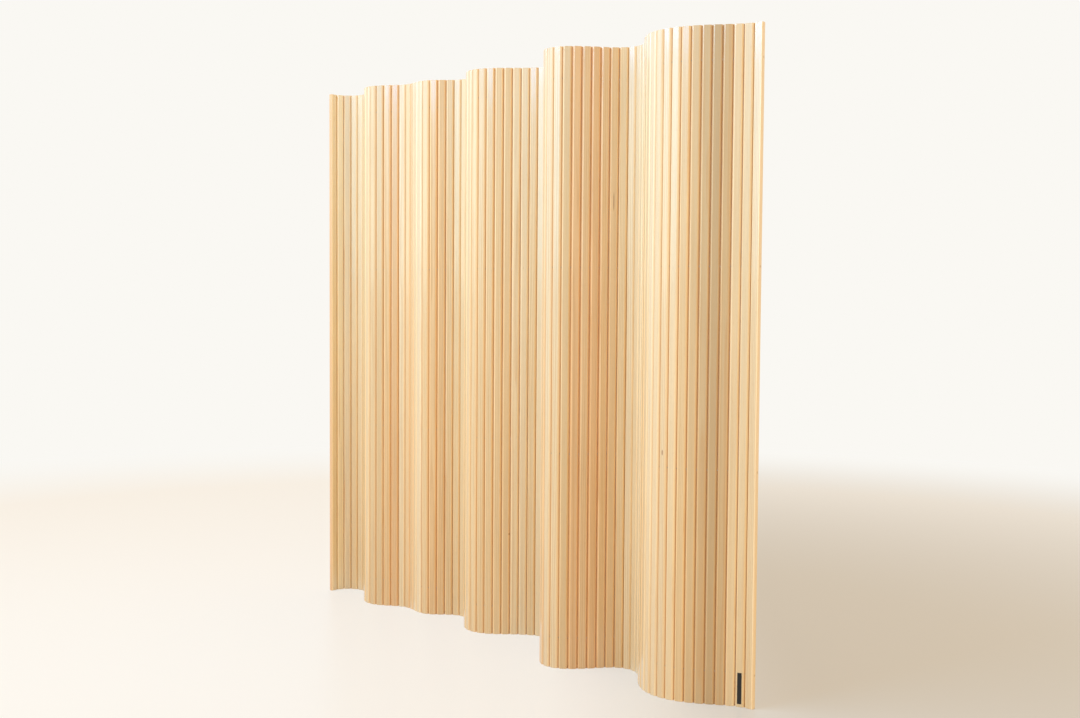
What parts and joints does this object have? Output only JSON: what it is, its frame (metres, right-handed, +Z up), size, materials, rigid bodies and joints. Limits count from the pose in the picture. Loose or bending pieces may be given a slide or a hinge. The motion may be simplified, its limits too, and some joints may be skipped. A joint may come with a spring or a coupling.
{
  "type": "slat folding screen",
  "caption": "Free-standing flexible room screen of upright round-edged pine slats strung side by side on steel wires, standing in soft waves.",
  "frame": {"origin": "centre of the screen's plan box, on the floor", "axes": "+X along the screen from its left end to its right end, +Y to its back, away from the viewer, +Z up"},
  "size_m": [1.6082, 0.2042, 1.5],
  "materials": {
    "pine": "planed and clear lacquered, satin",
    "plug": "turned plug, sanded flush",
    "wire": "bright drawn",
    "ferrule": "crimped",
    "label": "satin black, bare"
  },
  "bodies": {
    "section_01": {"slats_01": "pine", "ferrules_left": "ferrule", "end_plugs_left": "plug"},
    "section_02": {"slats_02": "pine"},
    "section_03": {"slats_03": "pine"},
    "section_04": {"slats_04": "pine"},
    "section_05": {"slats_05": "pine"},
    "section_06": {"slats_06": "pine"},
    "section_07": {"slats_07": "pine"},
    "section_08": {"slats_08": "pine"},
    "section_09": {"slats_09": "pine"},
    "section_10": {"slats_10": "pine"},
    "section_11": {"slats_11": "pine"},
    "section_12": {"slats_12": "pine"},
    "section_13": {"slats_13": "pine"},
    "section_14": {"slats_14": "pine"},
    "section_15": {"slats_15": "pine"},
    "section_16": {"slats_16": "pine"},
    "section_17": {"slats_17": "pine"},
    "section_18": {"slats_18": "pine"},
    "section_19": {"slats_19": "pine"},
    "section_20": {"slats_20": "pine"},
    "section_21": {"slats_21": "pine"},
    "section_22": {"slats_22": "pine"},
    "section_23": {"slats_23": "pine"},
    "section_24": {"slats_24": "pine"},
    "section_25": {"slats_25": "pine"},
    "section_26": {"slats_26": "pine"},
    "section_27": {"slats_27": "pine", "wire_1": "wire", "wire_2": "wire", "wire_3": "wire", "wire_4": "wire"},
    "section_28": {"slats_28": "pine"},
    "section_29": {"slats_29": "pine"},
    "section_30": {"slats_30": "pine"},
    "section_31": {"slats_31": "pine"},
    "section_32": {"slats_32": "pine"},
    "section_33": {"slats_33": "pine"},
    "section_34": {"slats_34": "pine"},
    "section_35": {"slats_35": "pine"},
    "section_36": {"slats_36": "pine"},
    "section_37": {"slats_37": "pine"},
    "section_38": {"slats_38": "pine"},
    "section_39": {"slats_39": "pine"},
    "section_40": {"slats_40": "pine"},
    "section_41": {"slats_41": "pine"},
    "section_42": {"slats_42": "pine"},
    "section_43": {"slats_43": "pine"},
    "section_44": {"slats_44": "pine"},
    "section_45": {"slats_45": "pine"},
    "section_46": {"slats_46": "pine", "label_plate": "label"},
    "section_47": {"slats_47": "pine", "ferrules_right": "ferrule", "end_plugs_right": "plug"}
  },
  "joints": [
    {"name": "turn_01_02", "type": "hinge", "parent": "section_02", "child": "section_01", "pos_m": [-0.79859, 0.02191, 0], "axis": [0, 0, 1], "range_deg": [-47.36, 4.64]},
    {"name": "turn_02_03", "type": "hinge", "parent": "section_03", "child": "section_02", "pos_m": [-0.7919, 0.04392, 0], "axis": [0, 0, 1], "range_deg": [-48.13, 3.87]},
    {"name": "turn_03_04", "type": "hinge", "parent": "section_04", "child": "section_03", "pos_m": [-0.77741, 0.06178, 0], "axis": [0, 0, 1], "range_deg": [-47.87, 4.13]},
    {"name": "turn_04_05", "type": "hinge", "parent": "section_05", "child": "section_04", "pos_m": [-0.75731, 0.07296, 0], "axis": [0, 0, 1], "range_deg": [-46.59, 5.41]},
    {"name": "turn_05_06", "type": "hinge", "parent": "section_06", "child": "section_05", "pos_m": [-0.73456, 0.07635, 0], "axis": [0, 0, 1], "range_deg": [-44.34, 7.66]},
    {"name": "turn_06_07", "type": "hinge", "parent": "section_07", "child": "section_06", "pos_m": [-0.7119, 0.07242, 0], "axis": [0, 0, 1], "range_deg": [-41.24, 10.76]},
    {"name": "turn_07_08", "type": "hinge", "parent": "section_08", "child": "section_07", "pos_m": [-0.65593, 0.03311, 0], "axis": [0, 0, 1], "range_deg": [-28.4, 23.6]},
    {"name": "turn_08_09", "type": "hinge", "parent": "section_09", "child": "section_08", "pos_m": [-0.60242, -0.00952, 0], "axis": [0, 0, -1], "range_deg": [-44.35, 7.65]},
    {"name": "turn_09_10", "type": "hinge", "parent": "section_10", "child": "section_09", "pos_m": [-0.57977, -0.01349, 0], "axis": [0, 0, -1], "range_deg": [-45.48, 6.52]},
    {"name": "turn_10_11", "type": "hinge", "parent": "section_11", "child": "section_10", "pos_m": [-0.55709, -0.00968, 0], "axis": [0, 0, -1], "range_deg": [-42.15, 9.85]},
    {"name": "turn_11_12", "type": "hinge", "parent": "section_12", "child": "section_11", "pos_m": [-0.4985, 0.02642, 0], "axis": [0, 0, 1], "range_deg": [-37.65, 14.35]},
    {"name": "turn_12_13", "type": "hinge", "parent": "section_13", "child": "section_12", "pos_m": [-0.47729, 0.03531, 0], "axis": [0, 0, 1], "range_deg": [-43.85, 8.15]},
    {"name": "turn_13_14", "type": "hinge", "parent": "section_14", "child": "section_13", "pos_m": [-0.45437, 0.03727, 0], "axis": [0, 0, 1], "range_deg": [-41.7, 10.3]},
    {"name": "turn_14_15", "type": "hinge", "parent": "section_15", "child": "section_14", "pos_m": [-0.387, 0.02313, 0], "axis": [0, 0, -1], "range_deg": [-48.27, 3.73]},
    {"name": "turn_15_16", "type": "hinge", "parent": "section_16", "child": "section_15", "pos_m": [-0.36473, 0.02889, 0], "axis": [0, 0, -1], "range_deg": [-48.27, 3.73]},
    {"name": "turn_16_17", "type": "hinge", "parent": "section_17", "child": "section_16", "pos_m": [-0.31282, 0.07412, 0], "axis": [0, 0, 1], "range_deg": [-41.39, 10.61]},
    {"name": "turn_17_18", "type": "hinge", "parent": "section_18", "child": "section_17", "pos_m": [-0.29199, 0.08386, 0], "axis": [0, 0, 1], "range_deg": [-47.7, 4.29]},
    {"name": "turn_18_19", "type": "hinge", "parent": "section_19", "child": "section_18", "pos_m": [-0.26903, 0.0852, 0], "axis": [0, 0, 1], "range_deg": [-49.04, 2.96]},
    {"name": "turn_19_20", "type": "hinge", "parent": "section_20", "child": "section_19", "pos_m": [-0.24737, 0.07745, 0], "axis": [0, 0, 1], "range_deg": [-45.1, 6.9]},
    {"name": "turn_20_21", "type": "hinge", "parent": "section_21", "child": "section_20", "pos_m": [-0.19981, 0.02786, 0], "axis": [0, 0, -1], "range_deg": [-32.37, 19.63]},
    {"name": "turn_21_22", "type": "hinge", "parent": "section_22", "child": "section_21", "pos_m": [-0.16369, -0.00023, 0], "axis": [0, 0, -1], "range_deg": [-41.79, 10.21]},
    {"name": "turn_22_23", "type": "hinge", "parent": "section_23", "child": "section_22", "pos_m": [-0.1416, -0.00662, 0], "axis": [0, 0, -1], "range_deg": [-43.56, 8.44]},
    {"name": "turn_23_24", "type": "hinge", "parent": "section_24", "child": "section_23", "pos_m": [-0.11861, -0.00605, 0], "axis": [0, 0, -1], "range_deg": [-42.97, 9.03]},
    {"name": "turn_24_25", "type": "hinge", "parent": "section_25", "child": "section_24", "pos_m": [-0.09678, 0.00121, 0], "axis": [0, 0, -1], "range_deg": [-40.08, 11.92]},
    {"name": "turn_25_26", "type": "hinge", "parent": "section_26", "child": "section_25", "pos_m": [-0.04396, 0.04514, 0], "axis": [0, 0, 1], "range_deg": [-27.74, 24.26]},
    {"name": "turn_26_27", "type": "hinge", "parent": "section_27", "child": "section_26", "pos_m": [0.01081, 0.08659, 0], "axis": [0, 0, 1], "range_deg": [-36.72, 15.28], "deforming": ["wire_1", "wire_2", "wire_3", "wire_4"]},
    {"name": "turn_27_28", "type": "hinge", "parent": "section_27", "child": "section_28", "pos_m": [0.05537, 0.09683, 0], "axis": [0, 0, -1], "range_deg": [-39.67, 12.33]},
    {"name": "turn_28_29", "type": "hinge", "parent": "section_28", "child": "section_29", "pos_m": [0.0782, 0.09403, 0], "axis": [0, 0, -1], "range_deg": [-39.88, 12.12]},
    {"name": "turn_29_30", "type": "hinge", "parent": "section_29", "child": "section_30", "pos_m": [0.13474, 0.0564, 0], "axis": [0, 0, -1], "range_deg": [-35.52, 16.48]},
    {"name": "turn_30_31", "type": "hinge", "parent": "section_30", "child": "section_31", "pos_m": [0.16807, -0.00379, 0], "axis": [0, 0, -1], "range_deg": [-26.44, 25.56]},
    {"name": "turn_31_32", "type": "hinge", "parent": "section_31", "child": "section_32", "pos_m": [0.19778, -0.06602, 0], "axis": [0, 0, 1], "range_deg": [-39.01, 12.99]},
    {"name": "turn_32_33", "type": "hinge", "parent": "section_32", "child": "section_33", "pos_m": [0.21305, -0.08322, 0], "axis": [0, 0, 1], "range_deg": [-45.47, 6.54]},
    {"name": "turn_33_34", "type": "hinge", "parent": "section_33", "child": "section_34", "pos_m": [0.23317, -0.09436, 0], "axis": [0, 0, 1], "range_deg": [-48.96, 3.04]},
    {"name": "turn_34_35", "type": "hinge", "parent": "section_34", "child": "section_35", "pos_m": [0.25604, -0.09676, 0], "axis": [0, 0, 1], "range_deg": [-48.96, 3.04]},
    {"name": "turn_35_36", "type": "hinge", "parent": "section_35", "child": "section_36", "pos_m": [0.27804, -0.09005, 0], "axis": [0, 0, 1], "range_deg": [-45.47, 6.54]},
    {"name": "turn_36_37", "type": "hinge", "parent": "section_36", "child": "section_37", "pos_m": [0.32503, -0.04032, 0], "axis": [0, 0, 1], "range_deg": [-30.5, 21.5]},
    {"name": "turn_37_38", "type": "hinge", "parent": "section_37", "child": "section_38", "pos_m": [0.36386, 0.01648, 0], "axis": [0, 0, -1], "range_deg": [-42.84, 9.16]},
    {"name": "turn_38_39", "type": "hinge", "parent": "section_38", "child": "section_39", "pos_m": [0.38321, 0.02892, 0], "axis": [0, 0, -1], "range_deg": [-47.55, 4.45]},
    {"name": "turn_39_40", "type": "hinge", "parent": "section_39", "child": "section_40", "pos_m": [0.40577, 0.03339, 0], "axis": [0, 0, -1], "range_deg": [-48.54, 3.46]},
    {"name": "turn_40_41", "type": "hinge", "parent": "section_40", "child": "section_41", "pos_m": [0.42832, 0.02887, 0], "axis": [0, 0, -1], "range_deg": [-45.63, 6.37]},
    {"name": "turn_41_42", "type": "hinge", "parent": "section_41", "child": "section_42", "pos_m": [0.4796, -0.01639, 0], "axis": [0, 0, 1], "range_deg": [-27.32, 24.68]},
    {"name": "turn_42_43", "type": "hinge", "parent": "section_42", "child": "section_43", "pos_m": [0.5299, -0.06335, 0], "axis": [0, 0, 1], "range_deg": [-34.11, 17.89]},
    {"name": "turn_43_44", "type": "hinge", "parent": "section_43", "child": "section_44", "pos_m": [0.59421, -0.08639, 0], "axis": [0, 0, 1], "range_deg": [-36.51, 15.49]},
    {"name": "turn_44_45", "type": "hinge", "parent": "section_44", "child": "section_45", "pos_m": [0.66144, -0.07392, 0], "axis": [0, 0, 1], "range_deg": [-33.21, 18.79]},
    {"name": "turn_45_46", "type": "hinge", "parent": "section_45", "child": "section_46", "pos_m": [0.72034, -0.03819, 0], "axis": [0, 0, -1], "range_deg": [-26.32, 25.68]},
    {"name": "turn_46_47", "type": "hinge", "parent": "section_46", "child": "section_47", "pos_m": [0.78102, -0.00615, 0], "axis": [0, 0, -1], "range_deg": [-38.26, 13.74]}
  ]
}
